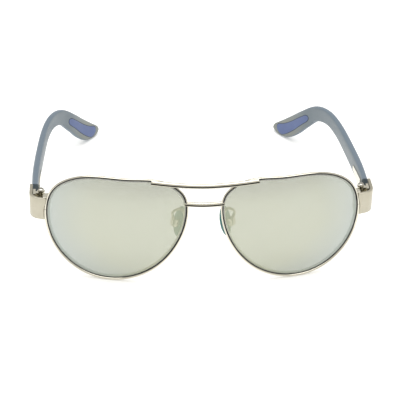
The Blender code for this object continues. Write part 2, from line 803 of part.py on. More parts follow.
def temple_station(share):
    """Centre, direction, inward normal, width direction, height and thickness at a share."""
    side_x, back_y = end_piece_side()
    last = len(TEMPLE_STATIONS) - 1

    def centre_at(place):
        x, y, z, _, _, _ = catmull(TEMPLE_STATIONS, place)
        return Vector((side_x - x * MM, back_y + TEMPLE_GAP + y * TEMPLE_REACH,
                       RIM_SPLIT_Z * (1.0 + z)))

    place = share * last
    _, _, _, height, thickness, roll = catmull(TEMPLE_STATIONS, place)
    step = 0.02
    bend = min(place, TIP_STRAIGHT_FROM * last)
    along = (centre_at(min(bend + step, last)) - centre_at(max(bend - step, 0.0))).normalized()
    if place <= 0.0:
        along = Vector((0.0, 1.0, 0.0))
    inward = Vector((-along.y, along.x, 0.0)).normalized()
    inward = Matrix.Rotation(math.radians(roll), 3, along) @ inward
    up = along.cross(inward) * -1.0
    return centre_at(place), along, inward, up, height * MM, thickness * MM


def temple_ring(share, grow=0.0, count=14):
    """Rounded section of the temple at a share of its length."""
    centre, _, inward, up, height, thickness = temple_station(share)
    tip = max(0.0, (share - 1.0 + TIP_ROUNDING) / TIP_ROUNDING)
    height *= math.sqrt(1.0 - 0.85 * tip * tip)
    thickness *= math.sqrt(1.0 - 0.55 * tip * tip)
    ring = []
    for step in range(count):
        angle = 2.0 * math.pi * (step + 0.5) / count
        c = math.cos(angle)
        s = math.sin(angle)
        across = math.copysign(abs(c) ** 0.55, c) * (thickness / 2.0 + grow)
        upward = math.copysign(abs(s) ** 0.55, s) * (height / 2.0 + grow)
        ring.append(centre + inward * across + up * upward)
    return ring


def rounded_ends(t):
    """Share of a strip's width that is left near its two rounded ends."""
    near_start = min(1.0, 0.5 + 0.5 * t / 0.08)
    near_end = max(0.0, (t - 0.80) / 0.20)
    return near_start * math.sqrt(1.0 - 0.80 * near_end * near_end)


def strip_mesh(name, start, end, start_width, end_width, proud, depth, grow, steps, lead=0.0,
               shape=None):
    """A flat strip along the temple's inner face, from one share of its length to another.

    The lead carries the strip's front end forward, so that a recess opens at the front face.
    """
    rings = []
    for step in range(steps + 1):
        t = step / steps
        share = start + (end - start) * t
        centre, along, inward, up, _, thickness = temple_station(share)
        width = start_width + (end_width - start_width) * t
        half = (width * shape(t) if shape else width) / 2.0 + grow
        face = centre + inward * (thickness / 2.0) + along * grow * (2.0 * t - 1.0)
        if step == 0:
            face = face - along * lead
        out = inward * (proud + grow)
        sink = inward * (depth + grow)
        rings.append([face + out + up * half, face + out - up * half,
                      face - sink - up * half, face - sink + up * half])
    return loft_mesh(name, rings)


def share_at(reach):
    """Share of the temple's stations at a distance back from its front face."""
    front_y = temple_station(0.0)[0].y
    low = 0.0
    high = 1.0
    for _ in range(24):
        middle = (low + high) / 2.0
        if temple_station(middle)[0].y - front_y < reach:
            low = middle
        else:
            high = middle
    return low


def leaf_mesh(name, grow, lead=0.0):
    """The silver leaf let into the inner face of the temple."""
    return strip_mesh(name, share_at(1.2 * MM), share_at(LEAF_LENGTH), LEAF_FRONT_HEIGHT,
                      LEAF_END_HEIGHT, LEAF_PROUD, LEAF_THICKNESS - LEAF_PROUD, grow, 5, lead)


def inlay_mesh(name, grow):
    return strip_mesh(name, INLAY_START, INLAY_END, INLAY_START_WIDTH, INLAY_END_WIDTH,
                      INLAY_PROUD, INLAY_THICKNESS - INLAY_PROUD, grow, 16,
                      shape=rounded_ends)


def build_temple(parts, tools):
    shares = [step / TEMPLE_STEPS for step in range(TEMPLE_STEPS)]
    shares += [1.0 - TIP_ROUNDING * 0.16, 1.0]
    rings = [temple_ring(share) for share in shares]
    temple = add_object("temple_right", loft_mesh("temple_right", rings), parts)
    inlay = add_object("tip_inlay_right", inlay_mesh("tip_inlay_right", 0.0), parts)
    recess = hide_as_cutter(add_object("inlay_recess", inlay_mesh("inlay_recess", SEAT_GAP),
                                       tools))
    leaf_recess = hide_as_cutter(add_object(
        "leaf_recess", leaf_mesh("leaf_recess", SEAT_GAP, 2.0 * MM), tools))
    boolean(temple, recess, "DIFFERENCE")
    boolean(temple, leaf_recess, "DIFFERENCE")
    return bake(temple), inlay


# ---- Nose pads --------------------------------------------------------------------------------
def pad_frame():
    """Pad frame at its screw: X towards the nose, Z along the pad."""
    turn = Matrix.Rotation(math.pi - PAD_SPLAY, 4, "Z")
    flare = Matrix.Rotation(PAD_FLARE, 4, "Y")
    pad_y = front_point(PAD_X, PAD_Z).y + PAD_BEHIND_RIM
    return Matrix.Translation((PAD_X, pad_y, PAD_Z)) @ turn @ flare


def build_pad(parts, tools):
    frame = pad_frame()
    tab_x, tab_y, tab_z = PAD_TAB
    bm = bmesh.new()
    bmesh.ops.create_uvsphere(bm, u_segments=16, v_segments=10, radius=1.0)
    bmesh.ops.scale(bm, vec=(PAD_THICKNESS / 2.0, PAD_WIDTH / 2.0, PAD_LENGTH / 2.0),
                    verts=bm.verts)
    shift = PAD_THICKNESS / 2.0 + tab_x * 0.5
    bmesh.ops.translate(bm, vec=(shift, 0.0, 0.0), verts=bm.verts)
    body = mesh_from_bmesh("nose_pad_right", bm)
    tab = box_mesh("pad_tab", (-tab_x / 2.0, -tab_y / 2.0, -tab_z / 2.0),
                   (shift, tab_y / 2.0, tab_z / 2.0))
    pad = union_of("nose_pad_right", [body, tab], parts, tools)
    bore_radius = PAD_SCREW_DIAMETER / 2.0 + BORE_GAP * 0.8
    width = tab_y / 2.0 + SEAT_GAP + PAD_BOX_WALL
    bore_mesh = cylinder_mesh("pad_bore", bore_radius, -width - MM, width + MM, 0.0, 0.0, 14)
    bore_mesh.transform(Matrix.Rotation(math.radians(90.0), 4, "X"))
    bore = hide_as_cutter(add_object("pad_bore", bore_mesh, tools))
    boolean(pad, bore, "DIFFERENCE")
    bake(pad)

    outer_z = PAD_BOX_LENGTH / 2.0 + 0.3 * MM
    back = -tab_x / 2.0 - SEAT_GAP - 0.5 * MM
    shell = box_mesh("pad_box_right", (back, -width, -outer_z), (tab_x * 0.30, width, outer_z))
    box = soften(add_object("pad_box_right", shell, parts), 0.12 * MM)
    hollow = hide_as_cutter(add_object("pad_hollow", box_mesh(
        "pad_hollow", (-tab_x / 2.0 - SEAT_GAP, -tab_y / 2.0 - SEAT_GAP, -outer_z - MM),
        (tab_x, tab_y / 2.0 + SEAT_GAP, outer_z + MM)), tools))
    boolean(box, hollow, "DIFFERENCE")
    boolean(box, bore, "DIFFERENCE")
    bake(box)

    length = 2.0 * width + 2.0 * SEAT_GAP
    profile_high = width + SEAT_GAP
    profile = [(0.0, profile_high + PAD_SCREW_HEAD_HEIGHT),
               (PAD_SCREW_HEAD / 2.0, profile_high + PAD_SCREW_HEAD_HEIGHT),
               (PAD_SCREW_HEAD / 2.0, profile_high),
               (PAD_SCREW_DIAMETER / 2.0, profile_high),
               (PAD_SCREW_DIAMETER / 2.0, profile_high - length),
               (0.0, profile_high - length)]
    screw = turned("nose_pad_screw_right", profile, parts, 14)
    screw.data.transform(Matrix.Rotation(math.radians(90.0), 4, "X"))
    for obj in (pad, box, screw):
        obj.data.transform(frame)
    return pad, box, screw


def build_pad_arm(parts, tools, rim_cutter):
    """A bent wire from the back of the rim to the top of the pad box."""
    frame = pad_frame()
    top = frame @ Vector((-PAD_TAB[0] / 2.0 - SEAT_GAP - 0.25 * MM, 0.0,
                          PAD_BOX_LENGTH / 2.0 + 0.3 * MM + SEAT_GAP))
    root_z = PAD_Z + 6.4 * MM
    root_x = nasal_edge(root_z, RIM_WIDTH / 2.0)
    root = front_point(root_x, root_z) + Vector((0.0, RIM_DEPTH / 2.0, 0.0))
    rows = [
        tuple(root + Vector((0.2 * MM, -0.3 * MM, 0.0))),
        tuple(root + Vector((0.7 * MM, 1.8 * MM, 1.4 * MM))),
        tuple(root + Vector((2.6 * MM, 3.4 * MM, 1.8 * MM))),
        tuple(top + Vector((0.6 * MM, -0.5 * MM, 3.0 * MM))),
        tuple(top),
    ]
    steps = 14
    points = [tuple(catmull(rows, (len(rows) - 1) * step / steps)) for step in range(steps + 1)]
    wire = tube_curve("pad_arm_right", points, PAD_ARM_DIAMETER / 2.0, parts, resolution=2)
    wire = curve_to_mesh_object(wire, parts)
    boolean(wire, rim_cutter, "DIFFERENCE")
    return bake(wire)


# ---- Assembly ---------------------------------------------------------------------------------
def mirrored(obj, name, parts):
    """The left-hand copy of a right-hand piece."""
    mesh = obj.data.copy()
    mesh.name = name
    mesh.transform(Matrix.Scale(-1.0, 4, (1.0, 0.0, 0.0)))
    mesh.flip_normals()
    return add_object(name, mesh, parts)


def add_empty(name, location, parts, parent=None):
    empty = bpy.data.objects.new(name, None)
    empty.empty_display_size = 0.01
    parts.objects.link(empty)
    empty.location = location
    if parent:
        empty.parent = parent
        empty.location = Vector(location) - parent.location
    return empty


def attach(obj, empty, pivot):
    """Move an object's origin to the pivot and parent it to the empty there."""
    obj.data.transform(Matrix.Translation(-Vector(pivot)))
    obj.parent = empty


def main():
    clear_scene()
    parts = make_collection("aviator_sunglasses")
    tools = make_collection("cutters")
    rim_cutter = build_rim_cutter(tools, SEAT_GAP)
    left_cutter = hide_as_cutter(mirrored(rim_cutter, "rim_clearance_left", tools))

    front = {
        "silver": [build_rim(parts, tools), build_end_piece(parts, rim_cutter)],
        "lens": [build_lens(parts)],
        "screw": [],
    }
    lock = build_lock(parts, tools, rim_cutter)
    front["silver"] += lock[:2]
    front["screw"].append(lock[2])
    hinge_front, hinge_screw, hinge_temple = build_hinge(parts, tools)
    front["silver"].append(hinge_front)
    front["screw"].append(hinge_screw)
    temple, inlay = build_temple(parts, tools)
    pad, pad_box, pad_screw = build_pad(parts, tools)
    front["silver"] += [pad_box, build_pad_arm(parts, tools, rim_cutter)]
    front["screw"].append(pad_screw)
    arms = {"temple": [temple], "inlay": [inlay], "silver": [hinge_temple]}
    pads = {"pad": [pad]}

    root = add_empty("sunglasses_origin", (0.0, 0.0, 0.0), parts)
    hinge = hinge_axis()
    pad_pivot = pad_frame().translation
    single = [build_brow_bar(parts), build_bridge(parts, tools, (rim_cutter, left_cutter))]
    for obj in single:
        finish_solid(obj, "silver")
        obj.parent = root

    for side, sign in (("right", 1.0), ("left", -1.0)):
        hinge_point = Vector((hinge.x * sign, hinge.y, hinge.z))
        pad_point = Vector((pad_pivot.x * sign, pad_pivot.y, pad_pivot.z))
        groups = (
            (front, root, Vector((0.0, 0.0, 0.0))),
            (arms, add_empty("temple_hinge_" + side, hinge_point, parts, root), hinge_point),
            (pads, add_empty("nose_pad_pivot_" + side, pad_point, parts, root), pad_point),
        )
        for group, empty, pivot in groups:
            for finish, objects in group.items():
                for original in objects:
                    if side == "right":
                        continue
                    name = original.name.replace("_right", "_left")
                    copy = mirrored(original, name, parts)
                    finish_solid(copy, finish)
                    attach(copy, empty, pivot)
    for side_group, empty_name, pivot in (
            (front, "sunglasses_origin", Vector((0.0, 0.0, 0.0))),
            (arms, "temple_hinge_right", hinge),
            (pads, "nose_pad_pivot_right", pad_pivot)):
        for finish, objects in side_group.items():
            for obj in objects:
                finish_solid(obj, finish)
                attach(obj, bpy.data.objects[empty_name], pivot)
    centre_on_floor(root, parts)


def centre_on_floor(root, parts):
    """Stand the glasses on z = 0 with the middle of their length over the origin."""
    bpy.context.view_layer.update()
    corners = [obj.matrix_world @ vertex.co for obj in parts.objects if obj.type == "MESH"
               for vertex in obj.data.vertices]
    low_y = min(c.y for c in corners)
    high_y = max(c.y for c in corners)
    low_z = min(c.z for c in corners)
    root.location = (0.0, -(low_y + high_y) / 2.0, -low_z)


main()
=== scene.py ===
import math

import bmesh
import bpy
import numpy as np
from mathutils import Matrix, Vector


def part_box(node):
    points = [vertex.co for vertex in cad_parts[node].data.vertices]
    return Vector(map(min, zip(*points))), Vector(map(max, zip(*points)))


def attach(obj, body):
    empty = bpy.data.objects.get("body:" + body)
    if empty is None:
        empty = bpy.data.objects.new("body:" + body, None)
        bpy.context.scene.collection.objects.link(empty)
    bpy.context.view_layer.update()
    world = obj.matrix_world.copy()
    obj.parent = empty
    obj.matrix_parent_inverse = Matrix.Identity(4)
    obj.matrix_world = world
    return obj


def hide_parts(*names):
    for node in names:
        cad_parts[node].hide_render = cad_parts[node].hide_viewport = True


# Looks of the aviator sunglasses: finished pieces and materials around the fixed CAD frame.
# The polished wires, the lenses, the moulded temples and the soft inlays are made here at a finer
# grain than the CAD solids that they stand for. The hinge, lock and pad pieces are softened
# copies of theirs. -Y is forward, +Z is up, and right and left are the CAD nodes' own.
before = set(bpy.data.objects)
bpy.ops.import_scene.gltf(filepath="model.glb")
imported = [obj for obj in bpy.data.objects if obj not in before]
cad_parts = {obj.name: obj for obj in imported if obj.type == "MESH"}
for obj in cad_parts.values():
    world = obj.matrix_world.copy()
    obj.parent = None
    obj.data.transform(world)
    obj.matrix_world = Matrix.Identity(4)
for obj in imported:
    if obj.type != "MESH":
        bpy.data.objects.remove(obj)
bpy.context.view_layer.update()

MM = 0.001
SIDES = (("right", 1.0), ("left", -1.0))

# ---- Sizes of the front -----------------------------------------------------------------------
LENS_BOX_WIDTH = 57.6 * MM
LENS_BOX_HEIGHT = 46.9 * MM
RIM_SPACING = 12.8 * MM
BASE_RADIUS = 88.0 * MM
WRAP_OFFSET = 15.5 * MM
LEAN_OFFSET = 6.4 * MM
RIM_WIDTH = 1.5 * MM
RIM_DEPTH = 2.2 * MM
RIM_SPLIT_Z = LENS_BOX_HEIGHT * 0.616
LENS_THICKNESS = 1.8 * MM
BAR_RADIUS = 1.05 * MM

# ---- Sizes of the temples ---------------------------------------------------------------------
TEMPLE_REACH = 97.6 * MM
# (mm inwards, share of the reach, share of the hinge height, height, thickness, roll in degrees)
TEMPLE_STATIONS = (
    (2.25, 0.0, 0.007, 8.6, 3.0, 0), (2.45, 0.149, -0.024, 7.7, 3.2, 0),
    (3.7, 0.353, -0.080, 6.9, 3.3, 0), (5.6, 0.558, -0.138, 6.4, 3.2, 0),
    (8.4, 0.694, -0.187, 6.4, 3.2, 0), (12.4, 0.785, -0.291, 7.0, 3.2, 3),
    (17.0, 0.846, -0.510, 8.2, 3.2, 6), (20.2, 0.891, -0.690, 9.0, 3.2, 9),
    (23.6, 0.934, -0.838, 8.7, 3.1, 12), (26.5, 0.971, -0.913, 6.3, 2.9, 12),
    (28.85, 1.0, -0.947, 3.4, 2.4, 12),
)
TIP_ROUNDING = 0.075
TIP_STRAIGHT_FROM = 0.76
INLAY_START = 0.550
INLAY_END = 0.905
INLAY_START_WIDTH = 2.8 * MM
INLAY_END_WIDTH = 5.6 * MM
INLAY_PROUD = 0.15 * MM
INLAY_DEPTH = 0.35 * MM
GROOVE_WIDTH = 0.26 * MM
GROOVE_PROUD = 0.04 * MM
# Power of the temple's rounded-box section
SECTION_POWER = 0.55

BOX_CENTRE_X = (RIM_SPACING + LENS_BOX_WIDTH) / 2.0
BOX_CENTRE_Z = LENS_BOX_HEIGHT / 2.0
APEX_X = BOX_CENTRE_X - WRAP_OFFSET
APEX_Z = BOX_CENTRE_Z - LEAN_OFFSET

# Teardrop outline of the rim, as fractions of the half width and half height of the lens box
RIM_OUTLINE = (
    (1.000, -0.020), (0.905, 0.630), (0.490, 0.957), (-0.150, 1.003), (-0.645, 0.962),
    (-0.952, 0.690), (-0.985, 0.270), (-0.825, -0.270), (-0.555, -0.675), (-0.100, -0.965),
    (0.335, -0.970), (0.750, -0.665),
)


# ---- Finishes ---------------------------------------------------------------------------------
# Colour sockets of a Mix node, and the range that most of a noise's values fall in
MIX_A = 6
MIX_B = 7
MIX_RESULT = 2
NOISE_LOW = 0.3
NOISE_HIGH = 0.7


def linear(hex_colour):
    """Linear RGBA of an sRGB hex colour."""
    channels = [int(hex_colour[i:i + 2], 16) / 255.0 for i in (1, 3, 5)]
    return [c / 12.92 if c <= 0.04045 else ((c + 0.055) / 1.055) ** 2.4 for c in channels] + [1.0]


def add_node(material, kind, inputs=None, **settings):
    """Add a node; an input is given as a value, or as a socket that is linked to it."""
    tree = material.node_tree
    node = tree.nodes.new("ShaderNode" + kind)
    for name, value in settings.items():
        setattr(node, name, value)
    for key, value in (inputs or {}).items():
        if isinstance(value, bpy.types.NodeSocket):
            tree.links.new(value, node.inputs[key])
        else:
            node.inputs[key].default_value = value
    return node


def open_finish(name):
    """A material with no nodes yet, apart from one that gives the place on the piece."""
    material = bpy.data.materials.new(name)
    material.use_nodes = True
    material.node_tree.nodes.clear()
    return material, add_node(material, "TexCoord").outputs["Object"]


def close_finish(material, surface):
    """Give a material its shader, from values and sockets, and its output."""
    shader = add_node(material, "BsdfPrincipled", surface)
    add_node(material, "OutputMaterial", {"Surface": shader.outputs[0]})
    return material


def polished_silver_plate():
    """Silver-toned plating on drawn wire and strip: mirror-like, warm, with faint haze where
    the buffing wheel left it, 2 mm across, and 0.9 mm ripples."""
    material, place = open_finish("polished_silver_plate")
    haze = add_node(material, "TexNoise", {
        "Vector": place, "Scale": 1.0 / (2.0 * MM), "Detail": 2.0, "Roughness": 0.55}).outputs[0]
    ripple = add_node(material, "TexNoise", {
        "Vector": place, "Scale": 1.0 / (0.9 * MM), "Detail": 3.0, "Roughness": 0.55}).outputs[0]
    plate = add_node(material, "Mix", {
        "Factor": haze, MIX_A: linear("#D6D1C2"), MIX_B: linear("#DEDACC")}, data_type="RGBA")
    gloss = add_node(material, "MapRange", {
        "Value": haze, "From Min": NOISE_LOW, "From Max": NOISE_HIGH,
        "To Min": 0.07, "To Max": 0.14})
    relief = add_node(material, "Bump", {"Height": ripple, "Distance": 0.002 * MM})
    return close_finish(material, {
        "Base Color": plate.outputs[MIX_RESULT], "Metallic": 1.0,
        "Roughness": gloss.outputs[0], "Normal": relief.outputs[0]})


def polished_bar_silver():
    """The same plating on the round bars, with a painted reflection: a nearly black line is painted
    into the colour along the part of the wire that faces forward, between level and a quarter
    upward, where the bars would mirror the dark room ahead of them."""
    material, place = open_finish("polished_bar_silver")
    haze = add_node(material, "TexNoise", {
        "Vector": place, "Scale": 1.0 / (2.0 * MM), "Detail": 2.0, "Roughness": 0.55}).outputs[0]
    facing = add_node(material, "TexCoord").outputs["Normal"]
    facing = add_node(material, "SeparateXYZ", {0: facing})
    below = add_node(material, "MapRange", {
        "Value": facing.outputs["Z"], "From Min": -0.32, "From Max": -0.16},
        interpolation_type="SMOOTHSTEP").outputs[0]
    above = add_node(material, "MapRange", {
        "Value": facing.outputs["Z"], "From Min": 0.46, "From Max": 0.22},
        interpolation_type="SMOOTHSTEP").outputs[0]
    ahead = add_node(material, "MapRange", {
        "Value": facing.outputs["Y"], "From Min": -0.30, "From Max": -0.60},
        interpolation_type="SMOOTHSTEP").outputs[0]
    # Painted reflection: mask of the forward-facing band that is coloured nearly black
    band = add_node(material, "Math", {0: below, 1: above}, operation="MULTIPLY").outputs[0]
    line = add_node(material, "Math", {0: band, 1: ahead}, operation="MULTIPLY").outputs[0]
    plate = add_node(material, "Mix", {
        "Factor": haze, MIX_A: linear("#D6D1C2"), MIX_B: linear("#DEDACC")}, data_type="RGBA")
    # Painted reflection: the plating's colour turns nearly black on that band
    painted_reflection_plate = add_node(material, "Mix", {
        "Factor": line, MIX_A: plate.outputs[MIX_RESULT], MIX_B: linear("#0D0C0A")},
        data_type="RGBA")
    gloss = add_node(material, "MapRange", {
        "Value": haze, "From Min": NOISE_LOW, "From Max": NOISE_HIGH,
        "To Min": 0.08, "To Max": 0.15})
    return close_finish(material, {
        "Base Color": painted_reflection_plate.outputs[MIX_RESULT], "Metallic": 1.0,
        "Roughness": gloss.outputs[0]})


def satin_silver_plate():
    """The same plating brushed to satin on the flat strip of the end pieces: 0.15 mm brush lines
    along the strip spread the reflection, so the strip looks an even warm grey."""
    material, place = open_finish("satin_silver_plate")
    along_strip = add_node(material, "Mapping", {
        "Vector": place, "Scale": (0.05, 0.05, 1.0)}).outputs[0]
    brushed = add_node(material, "TexNoise", {
        "Vector": along_strip, "Scale": 1.0 / (0.15 * MM), "Detail": 3.0,
        "Roughness": 0.55}).outputs[0]
    cloud = add_node(material, "TexNoise", {
        "Vector": place, "Scale": 1.0 / (3.0 * MM), "Detail": 2.0, "Roughness": 0.55}).outputs[0]
    plate = add_node(material, "Mix", {
        "Factor": cloud, MIX_A: linear("#B5B09F"), MIX_B: linear("#C0BBAC")}, data_type="RGBA")
    gloss = add_node(material, "MapRange", {
        "Value": brushed, "From Min": NOISE_LOW, "From Max": NOISE_HIGH,
        "To Min": 0.26, "To Max": 0.38})
    relief = add_node(material, "Bump", {"Height": brushed, "Distance": 0.001 * MM})
    return close_finish(material, {
        "Base Color": plate.outputs[MIX_RESULT], "Metallic": 1.0,
        "Roughness": gloss.outputs[0], "Normal": relief.outputs[0]})


def dark_lens_groove():
    """The lens groove of the rim and its lip, coloured with painted shade: a nearly black line that
    stands in for the shaded gap beside the lens.
    """
    material, place = open_finish("dark_lens_groove")
    shade_mottle = add_node(material, "TexNoise", {
        "Vector": place, "Scale": 1.0 / (0.4 * MM), "Detail": 3.0, "Roughness": 0.55}).outputs[0]
    # Painted shade: the groove and its lip are coloured nearly black
    painted_groove_shade = add_node(material, "Mix", {
        "Factor": shade_mottle, MIX_A: linear("#0B0B0A"), MIX_B: linear("#191815")}, data_type="RGBA")
    return close_finish(material, {"Base Color": painted_groove_shade.outputs[MIX_RESULT], "Roughness": 0.6})


def turned_steel():
    """Turned steel screw: fine rings around the axis, drawn 0.12 mm apart so that they show."""
    material, place = open_finish("turned_steel")
    rings = add_node(material, "TexWave", {
        "Vector": place, "Scale": 0.5 / (0.12 * MM) / 6.283, "Distortion": 0.4},
        wave_type="RINGS", rings_direction="Z").outputs["Fac"]
    steel = add_node(material, "Mix", {
        "Factor": rings, MIX_A: linear("#B9B6AE"), MIX_B: linear("#D2CFC7")}, data_type="RGBA")
    relief = add_node(material, "Bump", {"Height": rings, "Distance": 0.004 * MM})
    return close_finish(material, {
        "Base Color": steel.outputs[MIX_RESULT], "Metallic": 1.0, "Roughness": 0.26,
        "Normal": relief.outputs[0]})


def silver_mirror_coat():
    """Vacuum-coated mirror on the lens front: pale greenish silver that turns bluer where the
    coat thins, towards the temporal and lower edges."""
    material, place = open_finish("silver_mirror_coat")
    thin = add_node(material, "Attribute", attribute_name="coat_thinning").outputs["Fac"]
    cloud = add_node(material, "TexNoise", {
        "Vector": place, "Scale": 1.0 / (14.0 * MM), "Detail": 1.0, "Roughness": 0.55}).outputs[0]
    drift = add_node(material, "Math", {0: cloud, 1: 0.18}, operation="MULTIPLY").outputs[0]
    share = add_node(material, "Math", {0: thin, 1: drift}, operation="ADD",
                     use_clamp=True).outputs[0]
    coat = add_node(material, "Mix", {
        "Factor": share, MIX_A: linear("#A7AA92"), MIX_B: linear("#9EA7A3")}, data_type="RGBA")
    return close_finish(material, {
        "Base Color": coat.outputs[MIX_RESULT], "Metallic": 0.75, "Roughness": 0.24,
        "Alpha": 0.74})


def smoke_lens_tint():
    """Dyed polycarbonate seen at the back of the lens: glossy grey-green smoke."""
    material, place = open_finish("smoke_lens_tint")
    cloud = add_node(material, "TexNoise", {
        "Vector": place, "Scale": 1.0 / (18.0 * MM), "Detail": 1.0, "Roughness": 0.55}).outputs[0]
    smoke = add_node(material, "Mix", {
        "Factor": cloud, MIX_A: linear("#6C7468"), MIX_B: linear("#7C8478")}, data_type="RGBA")
    return close_finish(material, {
        "Base Color": smoke.outputs[MIX_RESULT], "Roughness": 0.06, "IOR": 1.58,
        "Alpha": 0.15})


def polished_lens_edge():
    """The bevelled edge of the lens: uncoated plastic, coloured near white as a painted highlight
    where it gathers light.
    """
    material, place = open_finish("polished_lens_edge")
    cloud = add_node(material, "TexNoise", {
        "Vector": place, "Scale": 1.0 / (3.0 * MM), "Detail": 1.0, "Roughness": 0.55}).outputs[0]
    # Painted highlight: the edge's colour is near white
    plastic = add_node(material, "Mix", {
        "Factor": cloud, MIX_A: linear("#EEF0E6"), MIX_B: linear("#FAFBF4")}, data_type="RGBA")
    return close_finish(material, {
        "Base Color": plastic.outputs[MIX_RESULT], "Roughness": 0.18, "IOR": 1.58})


def satin_temple_plastic():
    """Injection-moulded nylon, satin: blue-grey outside and on top, with a lighter, warmer grey
    painted on the inner face as a painted sheen, and a fine 0.35 mm moulded grain."""
    material, place = open_finish("satin_temple_plastic")
    inner = add_node(material, "Attribute", attribute_name="inner_face").outputs["Fac"]
    cloud = add_node(material, "TexNoise", {
        "Vector": place, "Scale": 1.0 / (9.0 * MM), "Detail": 2.0, "Roughness": 0.55}).outputs[0]
    pebble = add_node(material, "TexNoise", {
        "Vector": place, "Scale": 1.0 / (0.35 * MM), "Detail": 3.0, "Roughness": 0.55}).outputs[0]
    outside = add_node(material, "Mix", {
        "Factor": cloud, MIX_A: linear("#637280"), MIX_B: linear("#6A7886")}, data_type="RGBA")
    inside = add_node(material, "Mix", {
        "Factor": cloud, MIX_A: linear("#7C817D"), MIX_B: linear("#858984")}, data_type="RGBA")
    # Painted sheen: the lighter, warmer grey is mixed in where the arm is marked as its inner face
    nylon = add_node(material, "Mix", {
        "Factor": inner, MIX_A: outside.outputs[MIX_RESULT],
        MIX_B: inside.outputs[MIX_RESULT]}, data_type="RGBA")
    gloss = add_node(material, "MapRange", {
        "Value": pebble, "From Min": NOISE_LOW, "From Max": NOISE_HIGH,
        "To Min": 0.34, "To Max": 0.46})
    relief = add_node(material, "Bump", {"Height": pebble, "Distance": 0.006 * MM})
    return close_finish(material, {
        "Base Color": nylon.outputs[MIX_RESULT], "Roughness": gloss.outputs[0], "IOR": 1.53,
        "Normal": relief.outputs[0]})


def dark_inlay_groove():
    """The narrow groove round the inlay, as painted shade: a dark strip coloured like the groove's
    shade, a little dusty.
    """
    material, place = open_finish("dark_inlay_groove")
    dust = add_node(material, "TexNoise", {
        "Vector": place, "Scale": 1.0 / (0.5 * MM), "Detail": 3.0, "Roughness": 0.55}).outputs[0]
    # Painted shade: dark blue-grey standing in for the shade in the groove
    nylon = add_node(material, "Mix", {
        "Factor": dust, MIX_A: linear("#3C4450"), MIX_B: linear("#505A68")}, data_type="RGBA")
    return close_finish(material, {"Base Color": nylon.outputs[MIX_RESULT], "Roughness": 0.7})


def soft_blue_inlay():
    """Overmoulded thermoplastic rubber inlay: matt periwinkle blue with a 0.5 mm pebble grain."""
    material, place = open_finish("soft_blue_inlay")
    cloud = add_node(material, "TexNoise", {
        "Vector": place, "Scale": 1.0 / (6.0 * MM), "Detail": 2.0, "Roughness": 0.55}).outputs[0]
    pebble = add_node(material, "TexNoise", {
        "Vector": place, "Scale": 1.0 / (0.5 * MM), "Detail": 2.0, "Roughness": 0.55}).outputs[0]
    rubber = add_node(material, "Mix", {
        "Factor": cloud, MIX_A: linear("#52628F"), MIX_B: linear("#5E6F9C")}, data_type="RGBA")
    gloss = add_node(material, "MapRange", {
        "Value": pebble, "From Min": NOISE_LOW, "From Max": NOISE_HIGH,
        "To Min": 0.52, "To Max": 0.66})
    relief = add_node(material, "Bump", {"Height": pebble, "Distance": 0.015 * MM})
    return close_finish(material, {
        "Base Color": rubber.outputs[MIX_RESULT], "Roughness": gloss.outputs[0], "IOR": 1.5,
        "Sheen Weight": 0.15, "Normal": relief.outputs[0]})


def clear_silicone():
    """Moulded silicone of the nose pads: clear with a cool tint, slightly frosted."""
    material, place = open_finish("clear_silicone")
    frost = add_node(material, "TexNoise", {
        "Vector": place, "Scale": 1.0 / (0.8 * MM), "Detail": 3.0, "Roughness": 0.55}).outputs[0]
    silicone = add_node(material, "Mix", {
        "Factor": frost, MIX_A: linear("#4C8B8B"), MIX_B: linear("#639E9B")}, data_type="RGBA")
    gloss = add_node(material, "MapRange", {
        "Value": frost, "From Min": NOISE_LOW, "From Max": NOISE_HIGH,
        "To Min": 0.16, "To Max": 0.28})
    return close_finish(material, {
        "Base Color": silicone.outputs[MIX_RESULT], "Roughness": gloss.outputs[0], "IOR": 1.41,
        "Transmission Weight": 0.35, "Subsurface Weight": 0.2, "Subsurface Scale": 1.5 * MM})


FINISH = {
    "silver": polished_silver_plate(),
    "bar": polished_bar_silver(),
    "satin": satin_silver_plate(),
    "groove": dark_lens_groove(),
    "screw": turned_steel(),
    "coat": silver_mirror_coat(),
    "tint": smoke_lens_tint(),
    "edge": polished_lens_edge(),
    "temple": satin_temple_plastic(),
    "shade": dark_inlay_groove(),
    "inlay": soft_blue_inlay(),
    "silicone": clear_silicone(),
}


# ---- Piece helpers ----------------------------------------------------------------------------
def new_piece(name, mesh, finishes, body, slot, *nodes):
    """A finished piece that rides on a body and stands for the CAD nodes named."""
    obj = bpy.data.objects.new(name, mesh)
    bpy.context.scene.collection.objects.link(obj)
    for finish in finishes:
        mesh.materials.append(FINISH[finish])
    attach(obj, body)
    if nodes:
        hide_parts(*nodes)
    return obj


def loft(name, rings, caps=True, closed=False, finish_of=None):
    """A skin over rings of equal point count; a ring of one point is a pole."""
    bm = bmesh.new()
    loops = [[bm.verts.new(point) for point in ring] for ring in rings]
    pairs = list(zip(loops, loops[1:]))
    if closed:
        pairs.append((loops[-1], loops[0]))
    for row, (first, second) in enumerate(pairs):
        count = max(len(first), len(second))
        for i in range(count):
            j = (i + 1) % count
            if len(first) == 1:
                face = bm.faces.new((first[0], second[j], second[i]))
            elif len(second) == 1:
                face = bm.faces.new((first[i], first[j], second[0]))
            else:
                face = bm.faces.new((first[i], first[j], second[j], second[i]))
            if finish_of:
                face.material_index = finish_of(row, i)
    if caps and not closed:
        for loop in (loops[0], loops[-1]):
            if len(loop) > 1:
                bm.faces.new(loop)
    bmesh.ops.recalc_face_normals(bm, faces=bm.faces)
    mesh = bpy.data.meshes.new(name)
    bm.to_mesh(mesh)
    bm.free()
    return mesh


def smooth(mesh, angle):
    """Shade smooth, apart from edges sharper than the angle."""
    mesh.shade_smooth()
    mesh.set_sharp_from_angle(angle=math.radians(angle))
    return mesh


